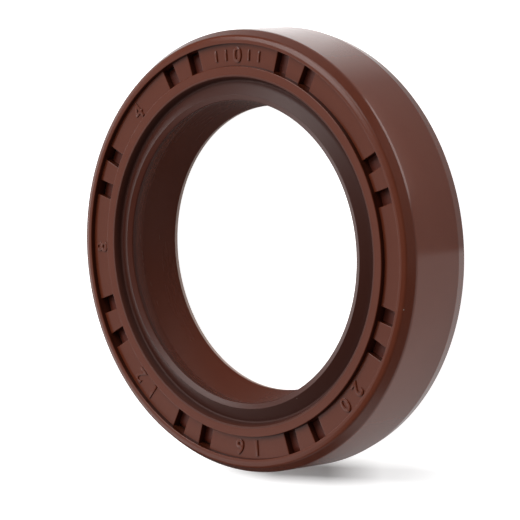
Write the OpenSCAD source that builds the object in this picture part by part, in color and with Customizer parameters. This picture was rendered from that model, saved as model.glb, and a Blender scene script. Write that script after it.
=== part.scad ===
// Radial shaft seal with a sealing lip, a dust lip and a garter spring.
// It lies on its oil side, with the marked air side up. Lengths are in millimetres.

/* [Overall size] */
// Outer diameter, which is the bore of the housing
outer_d = 36; // [34:0.5:44]
// Diameter of the shaft that runs in the seal
shaft_d = 24; // [20:0.5:25]
// Width along the shaft
width = 7; // [6.5:0.5:10]

/* [Outer cover] */
// Rubber over the outside of the case
cover_t = 0.7; // [0.5:0.05:0.9]
// Rubber over the free end of the case
end_t = 0.5; // [0.3:0.05:0.8]
// Front chamfer, measured across
front_chamfer_w = 0.5; // [0.2:0.05:0.6]
// Front chamfer, measured along the shaft
front_chamfer_h = 0.9; // [0.3:0.1:1.5]
// Back chamfer, measured across
back_chamfer_w = 0.25; // [0.1:0.05:0.5]
// Back chamfer, measured along the shaft
back_chamfer_h = 1; // [0.5:0.1:1.5]

/* [Front face] */
// Rubber between the front face and the case
front_t = 1; // [0.7:0.05:1.3]
// Flat outer rim of the front face
outer_rim_w = 0.62; // [0.4:0.02:0.8]
// Flat inner rim of the front face
inner_rim_w = 0.83; // [0.5:0.01:1]
// Depth of the sunk band between the rims
band_depth = 0.38; // [0.2:0.02:0.5]
// Slope of the walls of the band
band_draft = 0.05; // [0.02:0.01:0.1]
// Pairs of slots around the band
slot_pairs = 8; // [4:1:10]
// Width of a slot
slot_w = 1.25; // [0.8:0.05:1.6]
// Angle between the two slots of a pair
slot_pair_angle = 10.5; // [8:0.5:14]
// Angle of the first pair of slots
slot_start_angle = 20.8; // [0:0.1:40]

/* [Dust lip] */
// Running gap between the shaft and the dust lip
dust_gap = 0.25; // [0.1:0.05:0.4]
// Width of the nose of the dust lip
nose_w = 0.5; // [0.3:0.05:0.8]
// Distance of the crest of the nose below the front face
nose_drop = 0.04; // [0.02:0.01:0.2]
// Fall of the nose from its crest towards the shaft
nose_fall = 0.16; // [0:0.02:0.3]
// Depth of the groove around the dust lip
dust_groove_depth = 0.64; // [0.4:0.02:0.7]
// Outer flank of the dust lip, measured across
dust_flank_w = 1.15; // [0.8:0.05:1.4]
// Outer wall of the groove, measured across
dust_wall_w = 0.3; // [0.1:0.05:0.5]
// Depth of the hollow between the two lips
hollow_depth = 1.8; // [1.5:0.05:2.2]
// Distance of that hollow from the shaft
hollow_gap = 0.65; // [0.5:0.05:0.8]

/* [Sealing lip] */
// Squeeze of the relaxed sealing edge on the shaft
lip_squeeze = 0.35; // [0.2:0.05:0.5]
// Width of the trimmed sealing edge
lip_edge_w = 0.3; // [0.2:0.02:0.4]
// Height of the sealing edge above the back face
lip_z = 2.04; // [1.9:0.02:2.4]
// Slope of the oil side of the lip, from the shaft
oil_angle = 45; // [40:1:55]
// Rubber between the sealing edge and the spring
lip_head_t = 1.12; // [0.9:0.02:1.3]
// Rubber behind the spring
toe_t = 0.55; // [0.4:0.05:0.65]
// Rubber in front of the spring
shoulder_t = 0.15; // [0.1:0.05:0.3]
// Thickness of the bending part of the lip
membrane_t = 0.95; // [0.8:0.05:1.1]

/* [Steel case] */
// Sheet thickness
case_t = 0.7; // [0.5:0.05:0.8]
// Inner radius of the pressed bend
case_bend_r = 0.3; // [0.2:0.05:0.5]
// Rubber between the groove of the dust lip and the edge of the case
case_edge_cover = 0.1; // [0.05:0.05:0.4]
// Rubber skin under the case
skin_t = 0.22; // [0.15:0.01:0.4]
// Length of that skin, measured across
skin_w = 1.4; // [1:0.1:1.5]

/* [Garter spring] */
// Diameter of the wire
wire_d = 0.45; // [0.35:0.01:0.5]
// Outer diameter of the coil
coil_d = 1.8; // [1.5:0.05:1.9]
// Distance of the spring from the sealing edge, towards the front
spring_offset = 0.31; // [0.1:0.01:0.5]
// Play of the spring in its groove
spring_play = 0.03; // [0.02:0.01:0.05]
// Gap between neighbouring turns, at the inside of the ring
turn_gap = 0.02; // [0.01:0.01:0.04]

/* [Hidden] */
$fn = 180;

outer_r = outer_d / 2;
shaft_r = shaft_d / 2;

// Front face, from the outside inwards
rim_out_r = outer_r - front_chamfer_w;
band_out_r = rim_out_r - outer_rim_w;
nose_r = shaft_r + dust_gap;
crest_r = nose_r + nose_w;
groove_r = crest_r + dust_flank_w;
rim_in_r = groove_r + dust_wall_w;
band_in_r = rim_in_r + inner_rim_w;
crest_z = width - nose_drop;
hollow_r = shaft_r + hollow_gap;
hollow_z = width - hollow_depth;

// Steel case
case_out_r = outer_r - cover_t;
case_in_r = case_out_r - case_t;
case_top_z = width - front_t;
case_web_z = case_top_z - case_t;
case_edge_r = groove_r + case_edge_cover;

// Spring and the head of the sealing lip
lip_r = shaft_r - lip_squeeze;
coil_r = coil_d / 2;
turn_r = coil_r - wire_d / 2;
spring_r = lip_r + lip_head_t + spring_play + coil_r;
spring_z = lip_z + lip_edge_w / 2 + spring_offset;
seat_r = coil_r + spring_play;
toe_z = spring_z - seat_r - toe_t;
shoulder_z = spring_z + seat_r + shoulder_t;
toe_r = lip_r + (lip_z - toe_z) * tan(oil_angle);
head_r = spring_r + 0.12;

// Bending part of the lip
skin_z = case_web_z - skin_t;
waist_z = (shoulder_z + skin_z) / 2;
waist_share = (waist_z - lip_z - lip_edge_w) / (hollow_z - lip_z - lip_edge_w);
waist_r = lip_r + (hollow_r - lip_r) * waist_share + membrane_t;
skin_end_r = case_edge_r + skin_w;

// Wire of the spring, as rings of points along the coil
turns = floor(360 / asin((wire_d + turn_gap) / (spring_r - turn_r)));
rings_per_turn = 8;
wire_sides = 4;
rings = turns * rings_per_turn;

// Rounds one corner b of an outline that comes from a and goes on to c
function unit(v) = v / norm(v);
function turned(u, v) = u.x * v.y - u.y * v.x;
function rounded_corner(a, b, c, radius) =
    let (
        u = unit(a - b),
        v = unit(c - b),
        half = acos(u * v) / 2,
        reach = min(radius / tan(half), 0.45 * min(norm(a - b), norm(c - b))),
        r = reach * tan(half),
        centre = b + unit(u + v) * r / sin(half),
        first = b + u * reach - centre,
        sweep = (turned(u, v) > 0 ? -1 : 1) * (180 - 2 * half),
        steps = ceil(abs(sweep) / 15)
    )
    radius == 0 ? [b] : [
        for (i = [0 : steps])
            let (turn = sweep * i / steps)
            centre + [
                first.x * cos(turn) - first.y * sin(turn),
                first.x * sin(turn) + first.y * cos(turn)
            ]
    ];

// Closed outline through corners given as [radius from the axis, height, corner radius]
function rounded_outline(corners) = [
    for (i = [0 : len(corners) - 1])
        let (
            a = corners[(i + len(corners) - 1) % len(corners)],
            b = corners[i],
            c = corners[(i + 1) % len(corners)]
        )
        each rounded_corner([a.x, a.y], [b.x, b.y], [c.x, c.y], b.z)
];

module ring(corners) {
    rotate_extrude() polygon(rounded_outline(corners));
}

// Outline of the pressed case, an L with one bend
module case_shape() {
    ring([
        [case_in_r, end_t, 0],
        [case_out_r, end_t, 0.1],
        [case_out_r, case_top_z, case_bend_r + case_t],
        [case_edge_r, case_top_z, 0.1],
        [case_edge_r, case_web_z, 0],
        [case_in_r, case_web_z, case_bend_r]
    ]);
}

// Whole moulding with no cuts: it reaches into the thickness of the case
module moulding() {
    in_sheet_r = case_in_r + case_t / 2;
    in_sheet_z = case_web_z + case_t / 2;
    ring([
        [outer_r - back_chamfer_w, 0, 0.1],
        [outer_r, back_chamfer_h, 0.3],
        [outer_r, width - front_chamfer_h, 0.15],
        [rim_out_r, width, 0.12],
        [rim_in_r, width, 0.06],
        [groove_r, width - dust_groove_depth, 0.12],
        [crest_r, crest_z, 0.14],
        [nose_r, crest_z - nose_fall, 0.1],
        [hollow_r, hollow_z, 0.25],
        [lip_r, lip_z + lip_edge_w, 0],
        [lip_r, lip_z, 0],
        [toe_r, toe_z, 0.15],
        [head_r, toe_z, 0.2],
        [head_r, shoulder_z, 0.1],
        [waist_r, waist_z, 0.3],
        [case_edge_r + 0.3, skin_z, 0.5],
        [skin_end_r, skin_z, 0.05],
        [skin_end_r, in_sheet_z, 0],
        [in_sheet_r, in_sheet_z, 0],
        [in_sheet_r, end_t + case_t / 2, 0],
        [case_in_r, end_t, 0],
        [case_in_r + end_t / 2, 0, 0.05]
    ]);
}

// Sunk band between the two rims of the front face
module band() {
    floor_z = width - band_depth;
    ring([
        [band_in_r + band_draft, floor_z, 0.05],
        [band_out_r - band_draft, floor_z, 0.05],
        [band_out_r, width, 0],
        [band_out_r, width + 1, 0],
        [band_in_r, width + 1, 0],
        [band_in_r, width, 0]
    ]);
}

// Slots that the fingers of the mould leave, down to the case
module slots() {
    depth = front_t + case_t / 2;
    intersection() {
        ring([
            [band_in_r, width - depth, 0],
            [band_out_r, width - depth, 0],
            [band_out_r, width + 1, 0],
            [band_in_r, width + 1, 0]
        ]);
        for (pair = [0 : slot_pairs - 1], side = [-0.5, 0.5])
            rotate(slot_start_angle + 360 * pair / slot_pairs + side * slot_pair_angle)
                translate([band_in_r - 1, -slot_w / 2, width - depth - 1])
                    cube([band_out_r - band_in_r + 2, slot_w, depth + 3]);
    }
}

// Round seat of the garter spring
module spring_seat() {
    rotate_extrude() translate([spring_r, spring_z]) circle(r = seat_r, $fn = 48);
}

module rubber_body() {
    color([0.36, 0.23, 0.2])
        difference() {
            moulding();
            case_shape();
            band();
            slots();
            spring_seat();
        }
}

module metal_case() {
    color([0.3, 0.28, 0.27]) case_shape();
}

// Point of the wire: ring number along the coil, and side number around the wire
function wire_point(ring, side) =
    let (
        round_seal = 360 * ring / rings,
        round_coil = 360 * ring / rings_per_turn,
        round_wire = 360 * side / wire_sides,
        lean = atan(2 * PI * spring_r / turns / (2 * PI * turn_r)),
        reach = turn_r + wire_d / 2 * cos(round_wire),
        along = wire_d / 2 * sin(round_wire),
        out = reach * cos(round_coil) + along * sin(lean) * sin(round_coil),
        up = reach * sin(round_coil) - along * sin(lean) * cos(round_coil),
        ahead = along * cos(lean),
        r = spring_r + out
    )
    [
        r * cos(round_seal) - ahead * sin(round_seal),
        r * sin(round_seal) + ahead * cos(round_seal),
        spring_z + up
    ];

// Close-wound garter spring: the coil closes on itself after a whole number of turns
module garter_spring() {
    points = [
        for (ring = [0 : rings - 1], side = [0 : wire_sides - 1])
            wire_point(ring, side)
    ];
    faces = [
        for (ring = [0 : rings - 1], side = [0 : wire_sides - 1])
            let (
                this = ring * wire_sides,
                next = (ring + 1) % rings * wire_sides,
                after = (side + 1) % wire_sides
            )
            each [
                [this + side, next + side, this + after],
                [this + after, next + side, next + after]
            ]
    ];
    color([0.7, 0.71, 0.72]) polyhedron(points, faces);
}

rubber_body();
metal_case();
garter_spring();
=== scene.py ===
import math

import bmesh
import bpy
from mathutils import Matrix, Vector


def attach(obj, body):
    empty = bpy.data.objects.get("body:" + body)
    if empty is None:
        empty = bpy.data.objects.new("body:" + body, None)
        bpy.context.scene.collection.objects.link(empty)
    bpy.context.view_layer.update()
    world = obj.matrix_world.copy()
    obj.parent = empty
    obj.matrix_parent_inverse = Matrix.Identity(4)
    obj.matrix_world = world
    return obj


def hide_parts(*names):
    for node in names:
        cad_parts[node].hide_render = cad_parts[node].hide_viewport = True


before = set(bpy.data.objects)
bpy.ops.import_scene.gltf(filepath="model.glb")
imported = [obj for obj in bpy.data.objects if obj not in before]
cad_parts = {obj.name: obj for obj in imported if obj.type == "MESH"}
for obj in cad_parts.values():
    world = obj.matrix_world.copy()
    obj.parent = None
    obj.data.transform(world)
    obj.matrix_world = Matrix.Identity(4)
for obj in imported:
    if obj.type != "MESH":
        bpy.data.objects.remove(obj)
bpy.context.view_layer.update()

# Sizes of the seal in millimetres. Pieces are modelled in millimetres and brought to metres when done.
MM = 0.001
WIDTH = 7.0
OUTER_R = 18.0
RIM_OUT_R = 17.52
FRONT_CHAMFER_Z = 6.1
BAND_OUT_R = 16.88
BAND_IN_R = 15.03
BAND_DRAFT = 0.05
BAND_FLOOR_Z = 6.62
SLOT_W = 1.25
SLOT_FLOOR_Z = 5.72
SLOT_PAIRS = 8
SLOT_PAIR_ANGLE = 10.5
SLOT_START_ANGLE = 20.8
GROOVE_OUT_R = 14.2
GROOVE_R = 13.9
NOSE_R = 12.75
LIP_R = 11.65
LIP_BACK_Z = 2.04
LIP_FRONT_Z = 2.34
HEAD_R = 13.82
TOE_Z = 1.02
CASE_OUT_R = 17.3
CASE_IN_R = 14.0
CASE_BACK_Z = 0.5
CASE_FRONT_Z = 6.0
CASE_T = 0.7
SPRING_R = 13.70
SPRING_Z = 2.5
SEAT_R = 0.93
TURN_R = 0.675
WIRE_R = 0.225
TURNS = 174

# Fineness of the meshes, in degrees, numbers of sides or steps, and millimetres
STEP = 1.5
SLOT_STEPS = 3
SEAT_STEPS = 18
WIRE_SIDES = 8
COIL_STEPS = 12
SMALL_ROUNDING = 0.25
SMALL_ROUNDING_STEPS = 4
LARGE_ROUNDING_STEPS = 8
ROUNDED_SHARE = 0.45
SHARP_ANGLE = math.radians(40)

# Tolerances in millimetres and degrees, for picking by place and for merging doubles
SAME_PLACE = 0.001
MERGED = 0.002
CLOSE = 0.01
CLOSE_ANGLE = 0.2


# Working with pieces by hand

def only(piece):
    """Selects this piece alone, in object mode."""
    if bpy.context.object and bpy.context.object.mode != "OBJECT":
        bpy.ops.object.mode_set(mode="OBJECT")
    bpy.ops.object.select_all(action="DESELECT")
    piece.select_set(True)
    bpy.context.view_layer.objects.active = piece


def start_fresh():
    """Leaves edit mode and deselects everything, before a new primitive."""
    if bpy.context.object and bpy.context.object.mode != "OBJECT":
        bpy.ops.object.mode_set(mode="OBJECT")
    bpy.ops.object.select_all(action="DESELECT")


def pick(piece, kind, wanted):
    """In edit mode, selects the vertices, edges or faces that wanted() says yes to."""
    bpy.ops.mesh.select_mode(type=kind)
    bpy.ops.mesh.select_all(action="DESELECT")
    mesh = bmesh.from_edit_mesh(piece.data)
    for item in {"VERT": mesh.verts, "EDGE": mesh.edges, "FACE": mesh.faces}[kind]:
        item.select = wanted(item)
    mesh.select_flush_mode()
    bmesh.update_edit_mesh(piece.data)


def use_modifier(piece, kind, **settings):
    """Adds a modifier with these settings and applies it."""
    only(piece)
    modifier = piece.modifiers.new(kind.lower(), kind)
    for name, value in settings.items():
        setattr(modifier, name, value)
    bpy.ops.object.modifier_apply(modifier=modifier.name)


def spin_about_shaft(piece, degrees):
    """Turns a whole piece about the shaft axis, anticlockwise seen from the front."""
    only(piece)
    piece.rotation_euler = (0, 0, math.radians(degrees))
    bpy.ops.object.transform_apply(location=False, rotation=True, scale=False)


def draw_outline(name, corners):
    """Closed wire outline through (radius, height, rounding) corners, standing on the +X side."""
    start_fresh()
    bpy.ops.mesh.primitive_plane_add(size=0.1)
    piece = bpy.context.object
    piece.name = name
    bpy.ops.object.mode_set(mode="EDIT")
    bpy.ops.mesh.select_mode(type="VERT")
    bpy.ops.mesh.select_all(action="SELECT")
    bpy.ops.mesh.merge(type="CENTER")
    at = Vector((0, 0, 0))
    for number, (radius, height, _) in enumerate(corners):
        step = Vector((radius, 0, height)) - at
        if number == 0:
            bpy.ops.transform.translate(value=step)
        else:
            bpy.ops.mesh.extrude_vertices_move(TRANSFORM_OT_translate={"value": step})
        at += step

    def near(*points):
        return lambda vertex: any((vertex.co - Vector(point)).length < SAME_PLACE for point in points)

    ends = [(corners[i][0], 0, corners[i][1]) for i in (0, -1)]
    pick(piece, "VERT", near(*ends))
    bpy.ops.mesh.edge_face_add()
    bpy.ops.mesh.select_all(action="SELECT")
    bpy.ops.mesh.edge_face_add()
    for number, (radius, height, rounding) in enumerate(corners):
        if rounding:
            here = Vector((radius, height))
            before = Vector(corners[number - 1][:2]) - here
            after = Vector(corners[(number + 1) % len(corners)][:2]) - here
            cut = rounding / math.tan(before.angle(after) / 2)
            pick(piece, "VERT", near((radius, 0, height)))
            bpy.ops.mesh.bevel(
                offset=min(cut, ROUNDED_SHARE * min(before.length, after.length)),
                segments=LARGE_ROUNDING_STEPS if rounding > SMALL_ROUNDING else SMALL_ROUNDING_STEPS,
                affect="VERTICES",
                profile=0.5,
            )
    bpy.ops.mesh.select_all(action="SELECT")
    bpy.ops.mesh.delete(type="ONLY_FACE")
    return piece


def sweep_round(piece, degrees):
    """Spins the outline about the shaft axis, one meridian every STEP degrees."""
    bpy.ops.mesh.select_all(action="SELECT")
    bpy.ops.mesh.spin(
        steps=round(degrees / STEP), angle=math.radians(degrees), center=(0, 0, 0), axis=(0, 0, -1)
    )


def join(pieces):
    """Makes one piece of several, named after the first."""
    only(pieces[0])
    for piece in pieces[1:]:
        piece.select_set(True)
    bpy.ops.object.join()
    return bpy.context.object


def close_seams(piece):
    """Merges the doubles of copies or a full turn, and faces everything outwards."""
    only(piece)
    bpy.ops.object.mode_set(mode="EDIT")
    bpy.ops.mesh.select_all(action="SELECT")
    bpy.ops.mesh.remove_doubles(threshold=MERGED)
    bpy.ops.mesh.normals_make_consistent(inside=False)
    bpy.ops.object.mode_set(mode="OBJECT")


def finish_piece(piece, material, node=None):
    """Brings a piece to metres, shades it, and puts it on the seal."""
    only(piece)
    piece.scale = (MM, MM, MM)
    bpy.ops.object.transform_apply(location=True, rotation=True, scale=True)
    piece.data.name = piece.name
    piece.data.materials.clear()
    piece.data.materials.append(material)
    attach(piece, "root")
    if node:
        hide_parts(node)


# Rubber moulding

def seat_outline():
    """Round seat of the spring, cut into the back of the sealing lip, from its toe to its shoulder."""
    half = math.acos((HEAD_R - SPRING_R) / SEAT_R)
    angles = [-half - (2 * math.pi - 2 * half) * step / SEAT_STEPS for step in range(SEAT_STEPS + 1)]
    return [
        (
            SPRING_R + SEAT_R * math.cos(angle),
            SPRING_Z + SEAT_R * math.sin(angle),
            0.03 if angle in (angles[0], angles[-1]) else 0,
        )
        for angle in angles
    ]


# The inner corners of this section run inside the wall of the case, so that no gap shows between the two
rubber_corners = [
    (17.75, 0, 0.1), (OUTER_R, 1, 0.3), (OUTER_R, FRONT_CHAMFER_Z, 0.5),
    (RIM_OUT_R, 6.915, 0.35), (17.14, WIDTH, 0.4),
    (BAND_OUT_R, WIDTH, 0.06), (BAND_OUT_R - BAND_DRAFT, BAND_FLOOR_Z, 0),
    (BAND_IN_R + BAND_DRAFT, BAND_FLOOR_Z, 0), (BAND_IN_R, WIDTH, 0.06),
    (GROOVE_OUT_R, WIDTH, 0.06), (GROOVE_R, 6.36, 0.15), (NOSE_R, 6.96, 0.03), (12.25, 6.8, 0.12),
    (12.65, 5.2, 0.25), (LIP_R, LIP_FRONT_Z, 0.02), (LIP_R, LIP_BACK_Z, 0.02),
    (12.67, TOE_Z, 0.15), (HEAD_R, TOE_Z, 0.15),
    *seat_outline(),
    (HEAD_R, 3.58, 0.04), (13.296, 4.33, 0.3), (14.3, 5.08, 0.5), (15.4, 5.08, 0.05),
    (15.4, 5.65, 0), (16.95, 5.65, 0), (16.95, 0.85, 0),
    (CASE_OUT_R - CASE_T, CASE_BACK_Z, 0), (16.85, 0, 0.05),
]


def polar(co):
    """Distance from the shaft axis, and degrees round it from +X."""
    return math.hypot(co.x, co.y), math.degrees(math.atan2(co.y, co.x))


def slot_sector():
    """One slot with the ring on both sides of it, from the middle of one panel to that of the next."""
    near_side = SLOT_PAIR_ANGLE / 2
    sector = draw_outline("rubber_moulding", rubber_corners)
    spin_about_shaft(sector, -near_side)
    bpy.ops.object.mode_set(mode="EDIT")
    sweep_round(sector, 180 / SLOT_PAIRS)
    half = SLOT_STEPS / 2 * STEP
    for radius in (BAND_IN_R + BAND_DRAFT, BAND_OUT_R - BAND_DRAFT):
        def corner(vertex):
            r, angle = polar(vertex.co)
            return (
                abs(r - radius) < CLOSE
                and abs(vertex.co.z - BAND_FLOOR_Z) < CLOSE
                and abs(abs(angle) - half) < CLOSE_ANGLE
            )
        pick(sector, "VERT", corner)
        spread = SLOT_W / 2 / (radius * math.sin(math.radians(half)))
        bpy.ops.transform.resize(value=(1, spread, 1), center_override=(0, 0, 0))

    def slot_floor(face):
        centre = face.calc_center_median()
        return abs(centre.z - BAND_FLOOR_Z) < CLOSE and abs(polar(centre)[1]) < half

    pick(sector, "FACE", slot_floor)
    bpy.ops.mesh.extrude_region_move(
        TRANSFORM_OT_translate={"value": (0, 0, SLOT_FLOOR_Z - BAND_FLOOR_Z)}
    )

    def slot_brink(edge):
        on_brink = all(
            abs(vertex.co.z - BAND_FLOOR_Z) < SAME_PLACE and abs(abs(vertex.co.y) - SLOT_W / 2) < SAME_PLACE
            for vertex in edge.verts
        )
        return on_brink and abs(edge.verts[0].co.x - edge.verts[1].co.x) > SLOT_W / 2

    pick(sector, "EDGE", slot_brink)
    bpy.ops.mesh.bevel(offset=0.05, segments=3, affect="EDGES", profile=0.5)
    spin_about_shaft(sector, near_side)
    return sector


def rubber_moulding():
    sector = slot_sector()
    use_modifier(sector, "MIRROR", use_axis=(False, True, False), merge_threshold=MERGED)
    spin_about_shaft(sector, SLOT_START_ANGLE)
    sectors = [sector]
    for number in range(1, SLOT_PAIRS):
        only(sector)
        bpy.ops.object.duplicate()
        copy = bpy.context.object
        spin_about_shaft(copy, 360 * number / SLOT_PAIRS)
        sectors.append(copy)
    ring = join(sectors)
    close_seams(ring)
    bpy.ops.object.shade_smooth_by_angle(angle=SHARP_ANGLE)
    use_modifier(ring, "WEIGHTED_NORMAL", keep_sharp=True)
    return ring


# Raised figures in the sunk band, as on a plain dial

FIGURE_HEIGHT = 1.3
FIGURE_ANGLE = 3.3
STROKE_HEIGHT = 0.9
STROKE_ANGLES = (-8.4, -4.5, 4.5, 8.4)


def raised_figure(mark, height, angle, radius):
    """One figure or stroke of this height, set in the floor of the band with its foot to the shaft."""
    start_fresh()
    bpy.ops.object.text_add()
    piece = bpy.context.object
    piece.data.body = mark
    piece.data.size = 2
    piece.data.extrude = 0.07
    piece.data.bevel_depth = 0.025
    piece.data.offset = 0.02
    piece.data.bevel_resolution = 1
    piece.data.resolution_u = 6
    bpy.ops.object.convert(target="MESH")
    bpy.ops.object.origin_set(type="ORIGIN_GEOMETRY", center="BOUNDS")
    grow = height / piece.dimensions.y
    piece.scale = (grow, grow, 1)
    piece.rotation_euler = (0, 0, math.radians(angle - 90))
    piece.location = (
        radius * math.cos(math.radians(angle)),
        radius * math.sin(math.radians(angle)),
        BAND_FLOOR_Z,
    )
    bpy.ops.object.transform_apply(location=True, rotation=True, scale=True)
    return piece


def dial_figures():
    """A number on each of six panels, and two strokes on both sides of the first."""
    middle = (BAND_IN_R + BAND_OUT_R) / 2
    figures = []
    panel_angle = 360 / SLOT_PAIRS
    panel = SLOT_START_ANGLE + 1.5 * panel_angle
    for number, text in enumerate(("0", "4", "8", "12", "16", "20")):
        for place, mark in enumerate(text):
            turn = FIGURE_ANGLE * (len(text) - 1 - 2 * place)
            figures.append(raised_figure(mark, FIGURE_HEIGHT, panel + panel_angle * number + turn, middle))
    for turn in STROKE_ANGLES:
        figures.append(raised_figure("I", STROKE_HEIGHT, panel + turn, middle))
    figures[0].name = "dial_figures"
    marks = join(figures)
    close_seams(marks)
    bpy.ops.object.shade_smooth_by_angle(angle=SHARP_ANGLE)
    return marks


# Steel case

case_corners = [
    (CASE_OUT_R - CASE_T, CASE_BACK_Z, 0.03), (CASE_OUT_R, CASE_BACK_Z, 0.1),
    (CASE_OUT_R, CASE_FRONT_Z, 1.0), (CASE_IN_R, CASE_FRONT_Z, 0.1),
    (CASE_IN_R, CASE_FRONT_Z - CASE_T, 0.03), (CASE_OUT_R - CASE_T, CASE_FRONT_Z - CASE_T, 0.3),
]


def pressed_case():
    """Ring with an L section: a wall under the outer cover, and a flange under the front face."""
    case = draw_outline("pressed_case", case_corners)
    sweep_round(case, 360)
    close_seams(case)
    bpy.ops.object.shade_smooth_by_angle(angle=SHARP_ANGLE)
    use_modifier(case, "WEIGHTED_NORMAL", keep_sharp=True)
    return case


# Garter spring

def coil_spring():
    """One section of wire, screwed along a straight line and then bent round into a ring."""
    start_fresh()
    bpy.ops.mesh.primitive_circle_add(vertices=WIRE_SIDES, radius=WIRE_R, location=(0, TURN_R, 0))
    spring = bpy.context.object
    spring.name = "coil_spring"
    bpy.ops.object.transform_apply(location=True, rotation=False, scale=False)
    length = 2 * math.pi * SPRING_R
    use_modifier(
        spring, "SCREW", axis="X", screw_offset=length / TURNS, angle=2 * math.pi,
        steps=COIL_STEPS, render_steps=COIL_STEPS, iterations=TURNS, use_smooth_shade=True,
    )
    whole = spring.dimensions.x / length
    use_modifier(spring, "SIMPLE_DEFORM", deform_method="BEND", deform_axis="Z", angle=2 * math.pi * whole)
    across, along = ([vertex.co[axis] for vertex in spring.data.vertices] for axis in (0, 1))
    spring.location = (-(min(across) + max(across)) / 2, -(min(along) + max(along)) / 2, SPRING_Z)
    bpy.ops.object.transform_apply(location=True, rotation=False, scale=False)
    close_seams(spring)
    bpy.ops.object.shade_smooth()
    return spring


# Shader nodes

SOCKETS = {"value": "NodeSocketFloat", "colour": "NodeSocketColor", "vector": "NodeSocketVector"}


def shader_group(name, takes, gives):
    """Empty node group. Its sockets are given as (kind, name, value) and (kind, name)."""
    group = bpy.data.node_groups.new(name, "ShaderNodeTree")
    for kind, label, value in takes:
        socket = group.interface.new_socket(label, in_out="INPUT", socket_type=SOCKETS[kind])
        if value is not None:
            socket.default_value = value
    for kind, label in gives:
        group.interface.new_socket(label, in_out="OUTPUT", socket_type=SOCKETS[kind])
    return group, group.nodes.new("NodeGroupInput").outputs, group.nodes.new("NodeGroupOutput").inputs


def put(tree, kind, values, **settings):
    """Adds a node. A value is a plain one, or the output that feeds the socket."""
    made = tree.nodes.new(kind if kind == "ShaderNodeGroup" else "ShaderNode" + kind)
    for name, setting in settings.items():
        setattr(made, name, setting)
    for socket, value in values.items():
        if isinstance(value, bpy.types.NodeSocket):
            tree.links.new(value, made.inputs[socket])
        else:
            made.inputs[socket].default_value = value
    return made


def use_group(tree, group, **values):
    """Places a shared group, with its own values, and gives its outputs."""
    return put(tree, "ShaderNodeGroup", values, node_tree=group).outputs


def calc(tree, operation, *values):
    """Output of a Math node that works on these values."""
    return put(tree, "Math", dict(enumerate(values)), operation=operation).outputs[0]


def times(tree, one, other):
    return calc(tree, "MULTIPLY", one, other)


def plus(tree, one, other):
    return calc(tree, "ADD", one, other)


def blend_colour(tree, share, colour, other):
    """Mixes two colours; each is a colour or an output."""
    mixer = put(tree, "Mix", {"Factor": share}, data_type="RGBA")
    for socket, value in zip(("A_Color", "B_Color"), (colour, other)):
        into = next(item for item in mixer.inputs if item.identifier == socket)
        if isinstance(value, bpy.types.NodeSocket):
            tree.links.new(value, into)
        else:
            into.default_value = (*value, 1)
    return next(item for item in mixer.outputs if item.identifier == "Result_Color")


def ramp(tree, value, start, end, low=0.0, high=1.0):
    """Runs from low, where the value is at start, to high, where it is at end."""
    limits = {"Value": value, "From Min": start, "From Max": end, "To Min": low, "To Max": high}
    return put(tree, "MapRange", limits).outputs["Result"]


def between(tree, value, low, high, soft):
    """Mask of the places where a value lies between two limits, with soft ends."""
    above = ramp(tree, value, low - soft, low + soft)
    return times(tree, above, ramp(tree, value, high + soft, high - soft))


def place_on_seal():
    """Point, distance from the shaft axis and height above the back face, in millimetres."""
    group, takes, gives = shader_group(
        "place_on_seal", (), (("vector", "Point"), ("value", "Radius"), ("value", "Height"))
    )
    here = put(group, "TexCoord", {}).outputs["Object"]
    point = put(group, "VectorMath", {0: here, "Scale": 1 / MM}, operation="SCALE").outputs[0]
    part = put(group, "SeparateXYZ", {0: point}).outputs
    flat = put(group, "CombineXYZ", {"X": part["X"], "Y": part["Y"]}).outputs[0]
    radius = put(group, "VectorMath", {0: flat}, operation="LENGTH").outputs["Value"]
    for name, value in (("Point", point), ("Radius", radius), ("Height", part["Z"])):
        group.links.new(value, gives[name])
    return group


def cloudy_mottle():
    """Soft uneven patches from 0 to 1, each about Size millimetres across."""
    group, takes, gives = shader_group(
        "cloudy_mottle",
        (("vector", "Point", None), ("value", "Size", 2.0), ("value", "Contrast", 1.0)),
        (("value", "Amount"),),
    )
    scale = calc(group, "DIVIDE", 1.0, takes["Size"])
    noise = put(
        group, "TexNoise", {"Vector": takes["Point"], "Scale": scale, "Detail": 3.0, "Roughness": 0.55}
    )
    off = calc(group, "SUBTRACT", noise.outputs["Fac"], 0.5)
    wide = times(group, off, takes["Contrast"])
    amount = put(group, "Clamp", {"Value": plus(group, wide, 0.5)}).outputs[0]
    group.links.new(amount, gives["Amount"])
    return group


def moulded_grain():
    """Height of a moulded skin: fine grain with a few shallow pits, and the turned lines of the mould."""
    group, takes, gives = shader_group(
        "moulded_grain",
        (
            ("vector", "Point", None), ("value", "Grain", 0.12),
            ("value", "Lines", 0.3), ("value", "Pitch", 0.16),
        ),
        (("value", "Height"),),
    )
    scale = calc(group, "DIVIDE", 1.0, takes["Grain"])
    fine = put(group, "TexNoise", {"Vector": takes["Point"], "Scale": scale, "Detail": 2.0})
    pits = put(group, "TexVoronoi", {"Vector": takes["Point"], "Scale": 1.1, "Randomness": 1.0})
    pit = ramp(group, pits.outputs["Distance"], 0.02, 0.07)
    turning = put(
        group, "TexWave",
        {
            "Vector": takes["Point"], "Scale": calc(group, "DIVIDE", 0.314, takes["Pitch"]),
            "Distortion": 0.6, "Detail": 1.0, "Detail Scale": 0.5,
        },
        wave_type="RINGS", rings_direction="Z",
    )
    lines = times(group, turning.outputs["Fac"], takes["Lines"])
    rough = plus(group, fine.outputs["Fac"], times(group, pit, 0.8))
    group.links.new(plus(group, rough, lines), gives["Height"])
    return group


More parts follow.
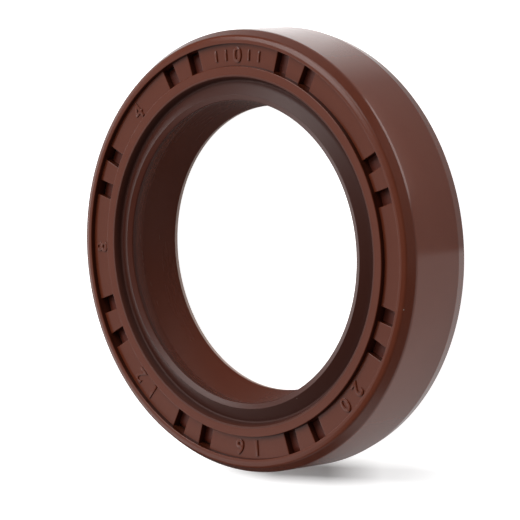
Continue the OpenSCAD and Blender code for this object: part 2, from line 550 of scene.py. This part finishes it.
def wiped_streaks():
    """Faint streaks from 0 to 1, long across the seal and Width millimetres wide along the shaft."""
    group, takes, gives = shader_group(
        "wiped_streaks", (("vector", "Point", None), ("value", "Width", 0.3)), (("value", "Amount"),)
    )
    stretch = {0: takes["Point"], 1: (0.12, 0.12, 1.0)}
    squeezed = put(group, "VectorMath", stretch, operation="MULTIPLY").outputs[0]
    scale = calc(group, "DIVIDE", 0.4, takes["Width"])
    noise = put(group, "TexNoise", {"Vector": squeezed, "Scale": scale, "Detail": 4.0, "Roughness": 0.65})
    group.links.new(noise.outputs["Fac"], gives["Amount"])
    return group


def dust_specks():
    """Mask of small specks Spacing millimetres apart, of which only the given share is there."""
    group, takes, gives = shader_group(
        "dust_specks",
        (
            ("vector", "Point", None), ("value", "Spacing", 1.2),
            ("value", "Share", 0.1), ("value", "Size", 0.05),
        ),
        (("value", "Mask"),),
    )
    scale = calc(group, "DIVIDE", 1.0, takes["Spacing"])
    cells = put(group, "TexVoronoi", {"Vector": takes["Point"], "Scale": scale, "Randomness": 1.0}).outputs
    chance = put(group, "SeparateXYZ", {0: cells["Color"]}).outputs["X"]
    chosen = calc(group, "LESS_THAN", chance, takes["Share"])
    near = ramp(group, cells["Distance"], takes["Size"], times(group, takes["Size"], 0.5))
    group.links.new(times(group, chosen, near), gives["Mask"])
    return group


seal_place = place_on_seal()
mottle = cloudy_mottle()
grain = moulded_grain()
streaks = wiped_streaks()
specks = dust_specks()


# Materials

FRESH_BROWN = (0.12, 0.0245, 0.0098)
BLOOMED_BROWN = (0.128, 0.0298, 0.0134)
DULL_BROWN = (0.1, 0.0222, 0.0098)
HALF_SHADE_BROWN = (0.06, 0.012, 0.0055)
WALL_SHADE_BROWN = (0.03, 0.0065, 0.0035)
SHADED_BROWN = (0.02, 0.0045, 0.0025)
CUT_RUBBER = (0.52, 0.4, 0.35)
PALE_DUST = (0.42, 0.36, 0.33)
DARK_COAT = (0.018, 0.013, 0.011)
WORN_COAT = (0.034, 0.026, 0.022)
RUBBER_FILM = (0.105, 0.018, 0.008)
GREY_WIRE = (0.44, 0.435, 0.43)
BRIGHT_WIRE = (0.56, 0.56, 0.57)


def new_material(name, **constants):
    """Material with one Principled BSDF, which gets these plain values."""
    material = bpy.data.materials.new(name)
    material.use_nodes = True
    shader = material.node_tree.nodes["Principled BSDF"]
    for label, value in constants.items():
        shader.inputs[label.replace("_", " ")].default_value = value
    return material, material.node_tree, shader.inputs


def moulded_rubber():
    """Brown fluoro rubber, with painted shade in its colour inside the groove, on the flank, on the outer
    chamfer and on the walls. The cut sealing edge is paler and duller.
    """
    material, tree, gives = new_material("moulded_fluoro_rubber", IOR=1.385)
    place = use_group(tree, seal_place)
    radius, height = place["Radius"], place["Height"]
    patches = use_group(tree, mottle, Point=place["Point"], Size=2.6, Contrast=1.6)["Amount"]
    fine_patches = use_group(tree, mottle, Point=place["Point"], Size=0.45, Contrast=1.2)["Amount"]
    wiped = use_group(tree, streaks, Point=place["Point"], Width=0.35)["Amount"]
    cut_edge = times(
        tree,
        between(tree, height, LIP_BACK_Z, LIP_FRONT_Z, 0.02),
        between(tree, radius, LIP_R - 0.65, LIP_R + 0.05, 0.03),
    )
    # Painted shade: all inside the groove is darker, most towards the front. The same mask also makes it a
    # little duller.
    lip_shade_and_dull = times(
        tree,
        ramp(tree, radius, GROOVE_OUT_R - 0.02, GROOVE_OUT_R - 0.18),
        ramp(tree, height, 6.1, 6.5, 0.35, 0.9),
    )
    # Painted shade in the groove and on the flank of the dust lip. The groove and flank are also made
    # duller.
    groove = between(tree, radius, GROOVE_R - 0.3, GROOVE_R + 0.4, 0.1)
    flank = between(tree, radius, NOSE_R - 0.02, GROOVE_R - 0.1, 0.04)
    shaded = calc(tree, "MAXIMUM", times(tree, groove, 0.5), times(tree, flank, 0.4))
    # Painted shade on the walls of the sunk band and in the slots.
    wall_shade = plus(
        tree,
        between(tree, radius, BAND_OUT_R - 0.06, BAND_OUT_R + 0.01, 0.02),
        between(tree, radius, BAND_IN_R - 0.01, BAND_IN_R + 0.06, 0.02),
    )
    wall_shade = times(tree, wall_shade, ramp(tree, height, WIDTH - 0.01, WIDTH - 0.1))
    slots = times(
        tree,
        between(tree, radius, BAND_IN_R - 0.03, BAND_OUT_R + 0.02, 0.02),
        between(tree, height, SLOT_FLOOR_Z - 0.12, BAND_FLOOR_Z - 0.06, 0.03),
    )
    wall_shade = calc(tree, "MAXIMUM", wall_shade, times(tree, slots, 0.7))
    # Painted shade on the outer chamfer.
    chamfer_shade = times(
        tree,
        ramp(tree, radius, RIM_OUT_R - 0.07, RIM_OUT_R + 0.03),
        ramp(tree, height, FRONT_CHAMFER_Z - 0.05, FRONT_CHAMFER_Z + 0.05),
    )
    dust = use_group(tree, specks, Point=place["Point"], Spacing=1.3, Share=0.08, Size=0.045)["Mask"]

    # Base colour: random patches, then the painted shade, then the paler cut edge and the dust.
    brown = blend_colour(tree, patches, FRESH_BROWN, BLOOMED_BROWN)
    brown = blend_colour(tree, times(tree, fine_patches, 0.25), brown, DULL_BROWN)
    brown = blend_colour(tree, times(tree, chamfer_shade, 0.4), brown, HALF_SHADE_BROWN)
    brown = blend_colour(tree, lip_shade_and_dull, brown, HALF_SHADE_BROWN)
    brown = blend_colour(tree, shaded, brown, SHADED_BROWN)
    brown = blend_colour(tree, times(tree, wall_shade, 0.85), brown, WALL_SHADE_BROWN)
    brown = blend_colour(tree, times(tree, cut_edge, 0.9), brown, CUT_RUBBER)
    brown = blend_colour(tree, times(tree, dust, 0.7), brown, PALE_DUST)
    tree.links.new(brown, gives["Base Color"])

    gloss = ramp(tree, wiped, 0.3, 0.7, 0.2, 0.25)
    dull = plus(tree, gloss, times(tree, plus(tree, cut_edge, groove), 0.3))
    dull = plus(tree, dull, times(tree, plus(tree, lip_shade_and_dull, flank), 0.1))
    dull = plus(tree, dull, times(tree, dust, 0.4))
    tree.links.new(dull, gives["Roughness"])

    skin = use_group(tree, grain, Point=place["Point"], Grain=0.14, Lines=0.15, Pitch=0.17)["Height"]
    skin = times(tree, skin, ramp(tree, radius, NOSE_R - 0.15, NOSE_R + 0.65, 0.2, 1.0))
    bump = put(tree, "Bump", {"Height": skin, "Strength": 0.35, "Distance": 0.000003})
    tree.links.new(bump.outputs["Normal"], gives["Normal"])
    return material


def coated_steel():
    """Pressed steel with a dark bonding coat, and a thin film of rubber where the slots show it."""
    material, tree, gives = new_material("bonding_coat", IOR=1.42)
    place = use_group(tree, seal_place)
    patches = use_group(tree, mottle, Point=place["Point"], Size=1.1, Contrast=2.2)["Amount"]
    wiped = use_group(tree, streaks, Point=place["Point"], Width=0.2)["Amount"]
    film = times(tree, between(tree, place["Height"], CASE_FRONT_Z - 0.1, CASE_FRONT_Z + 0.2, 0.02), 0.9)
    coat = blend_colour(tree, patches, DARK_COAT, WORN_COAT)
    coat = blend_colour(tree, film, coat, RUBBER_FILM)
    tree.links.new(coat, gives["Base Color"])
    tree.links.new(ramp(tree, wiped, 0.3, 0.7, 0.38, 0.55), gives["Roughness"])
    skin = use_group(tree, grain, Point=place["Point"], Grain=0.09, Lines=0.5, Pitch=0.12)["Height"]
    bump = put(tree, "Bump", {"Height": skin, "Strength": 0.5, "Distance": 0.000006})
    tree.links.new(bump.outputs["Normal"], gives["Normal"])
    return material


def drawn_wire():
    """Bright spring wire, slightly uneven in tone and gloss."""
    material, tree, gives = new_material("drawn_spring_wire", Metallic=1.0)
    place = use_group(tree, seal_place)
    patches = use_group(tree, mottle, Point=place["Point"], Size=0.7, Contrast=1.8)["Amount"]
    marks = use_group(tree, mottle, Point=place["Point"], Size=0.09, Contrast=1.6)["Amount"]
    steel = blend_colour(tree, patches, GREY_WIRE, BRIGHT_WIRE)
    tree.links.new(steel, gives["Base Color"])
    tree.links.new(ramp(tree, marks, 0.0, 1.0, 0.24, 0.4), gives["Roughness"])
    bump = put(tree, "Bump", {"Height": marks, "Strength": 0.4, "Distance": 0.000004})
    tree.links.new(bump.outputs["Normal"], gives["Normal"])
    return material


rubber = moulded_rubber()
finish_piece(rubber_moulding(), rubber, "rubber_body")
finish_piece(dial_figures(), rubber)
finish_piece(pressed_case(), coated_steel(), "metal_case")
finish_piece(coil_spring(), drawn_wire(), "garter_spring")


# Camera, at the photograph's angle

CAMERA_PLACE = (0.23767, 0.01848, 0.26396)
CAMERA_TURN_X = math.radians(-4.255)
CAMERA_TURN_Y = math.radians(42.43)

start_fresh()
turn = Matrix.Rotation(CAMERA_TURN_X, 4, "X") @ Matrix.Rotation(CAMERA_TURN_Y, 4, "Y")
bpy.ops.object.camera_add(location=CAMERA_PLACE, rotation=turn.to_euler())
camera = bpy.context.object
camera.data.lens = 300
camera.data.sensor_width = 36
camera.data.clip_start = 0.01
bpy.context.scene.camera = camera


# White table, with places on it in millimetres and brightness relative to white

# Corners and slopes of the painted reflections, and the places of the painted shade
GAP_CORNER = (17.42, 4.54)
GAP_SLOPE = 0.457
FRONT_CORNER = (OUTER_R, -0.35)
FRONT_SLOPE = -0.12
STREAK_SLOPES = (0.31, 1.3)
FOOT_SHADE_Y = (-19.5, -17.6)
BACK_SHADE_CENTRE = (-5.4, -0.4, 0.0)
BACK_SHADE = 0.22
TABLE_GLOW = 0.35
TABLE_SIZE = 1.6
TABLE_DROP = 0.00002


def below_line(tree, place, at, slope):
    """Soft mask of the points of the table below a line through the point at."""
    rise = times(tree, calc(tree, "SUBTRACT", place["X"], at[0]), slope)
    over = calc(tree, "SUBTRACT", calc(tree, "SUBTRACT", place["Y"], at[1]), rise)
    return ramp(tree, over, 0.3, -0.3)


def laid_over(tree, under, mask, level):
    """Goes from one level to another where the mask is 1."""
    change = times(tree, calc(tree, "SUBTRACT", level, under), mask)
    return plus(tree, under, change)


def painted_reflection(tree, place, flat):
    """Painted reflection: brightness the table has in gloss only, grey in a gap on the right, with a bright
    streak behind and a dark hole.
    """
    gloss_level = ramp(tree, flat["X"], 5.0, 12.0, 1.8, 0.62)
    gap = times(tree, ramp(tree, flat["X"], 12.5, 13.5), below_line(tree, flat, GAP_CORNER, GAP_SLOPE))
    gloss_level = laid_over(tree, gloss_level, gap, 0.6)
    slope = calc(tree, "DIVIDE", flat["Y"], flat["X"])
    streak = ramp(tree, between(tree, slope, *STREAK_SLOPES, 0.06), 0.0, 1.0, 0.7, 5.0)
    away = times(tree, ramp(tree, place["Radius"], 23.0, 27.0), ramp(tree, flat["Y"], -2.0, 2.0))
    gloss_level = laid_over(tree, gloss_level, away, streak)
    front = ramp(tree, flat["X"], 0.0, OUTER_R, 0.06, 1.35)
    gloss_level = laid_over(tree, gloss_level, below_line(tree, flat, FRONT_CORNER, FRONT_SLOPE), front)
    hole = ramp(tree, place["Radius"], 9.5, 11.3, 0.14, 0.32)
    return laid_over(tree, gloss_level, ramp(tree, place["Radius"], 12.0, 11.4), hole)


def table_in_view(tree, place, flat):
    """Brightness to the camera: white, but dimmer at the foot of the seal and behind it, where the lamps'
    real shadow shows, deepened by painted shade.
    """
    foot = between(tree, flat["Y"], *FOOT_SHADE_Y, 0.6)
    aside = calc(tree, "ABSOLUTE", plus(tree, flat["X"], 1.0))
    seen = laid_over(tree, 1.0, foot, ramp(tree, aside, 3.0, 9.0, 0.0, 0.55))
    points = {0: place["Point"], 1: BACK_SHADE_CENTRE}
    off_centre = put(tree, "VectorMath", points, operation="DISTANCE").outputs["Value"]
    back = times(tree, ramp(tree, off_centre, 18.0, 17.0), ramp(tree, place["Radius"], 16.0, 17.0))
    return laid_over(tree, seen, back, BACK_SHADE)


def table_white():
    """Plain white that glows a little, with painted reflections in gloss, and to the camera white with
    painted shade.
    """
    material, tree, gives = new_material(
        "white_table", Roughness=0.9, Specular_IOR_Level=0.0, Emission_Color=(1, 1, 1, 1)
    )
    rays = put(tree, "LightPath", {}).outputs
    place = use_group(tree, seal_place)
    flat = put(tree, "SeparateXYZ", {0: place["Point"]}).outputs
    white = blend_colour(tree, rays["Is Glossy Ray"], (0.8, 0.8, 0.8), (0, 0, 0))
    tree.links.new(white, gives["Base Color"])
    # The glow lights the seal; glossy rays see the painted reflections, and the camera sees the painted
    # shade.
    glow = laid_over(tree, TABLE_GLOW, rays["Is Glossy Ray"], painted_reflection(tree, place, flat))
    glow = laid_over(tree, glow, rays["Is Camera Ray"], table_in_view(tree, place, flat))
    tree.links.new(glow, gives["Emission Strength"])
    return material


start_fresh()
bpy.ops.mesh.primitive_plane_add(size=TABLE_SIZE, location=(0, 0, -TABLE_DROP))
table = bpy.context.object
table.name = "white_table"
table.data.materials.append(table_white())


# Studio light. The strips and the fill light the rubber, but don't show in it.

LAMP_DISTANCE = 0.42
SKY_GLOW = 0.14


def softbox(name, turn, rise, width, height, brightness):
    """Soft light facing the seal, turn degrees round it from +X and rise degrees above the table."""
    start_fresh()
    direction = Vector((
        math.cos(math.radians(rise)) * math.cos(math.radians(turn)),
        math.cos(math.radians(rise)) * math.sin(math.radians(turn)),
        math.sin(math.radians(rise)),
    ))
    bpy.ops.object.light_add(type="AREA", location=direction * LAMP_DISTANCE)
    lamp = bpy.context.object
    lamp.name = name
    lamp.data.shape = "RECTANGLE"
    lamp.data.size = width
    lamp.data.size_y = height
    lamp.data.energy = math.pi * width * height * brightness
    lamp.rotation_euler = direction.to_track_quat("Z", "Y").to_euler()
    return lamp


softbox("key_softbox", 131, 51, 0.22, 0.22, 4.6)
softbox("top_softbox", 90, 36, 0.34, 0.26, 2.7)
softbox("left_softbox", 182, 15, 0.38, 0.18, 2.3)
softbox("left_panel", 185, 47, 0.24, 0.24, 0.6)
softbox("lower_left_panel", 212, 38, 0.2, 0.2, 1.0)
softbox("bottom_card", 268, 12, 0.4, 0.3, 0.4)
softbox("right_card", 20, 10, 0.5, 0.2, 0.25)
softbox("upper_right_strip", 45, 3, 0.3, 0.04, 2.0).visible_glossy = False
softbox("lower_right_strip", 312, 5, 0.4, 0.06, 2.4).visible_glossy = False
softbox("overhead_fill", 90, 80, 0.24, 0.24, 1.2).visible_glossy = False

world = bpy.context.scene.world or bpy.data.worlds.new("studio")
bpy.context.scene.world = world
world.use_nodes = True
sky = world.node_tree.nodes["Background"]
sky.inputs["Color"].default_value = (1, 1, 1, 1)
rays = put(world.node_tree, "LightPath", {}).outputs
seen = put(world.node_tree, "MapRange", {"Value": rays["Is Camera Ray"], "To Min": SKY_GLOW, "To Max": 1.0})
world.node_tree.links.new(seen.outputs["Result"], sky.inputs["Strength"])

bpy.context.scene.view_settings.view_transform = "Standard"
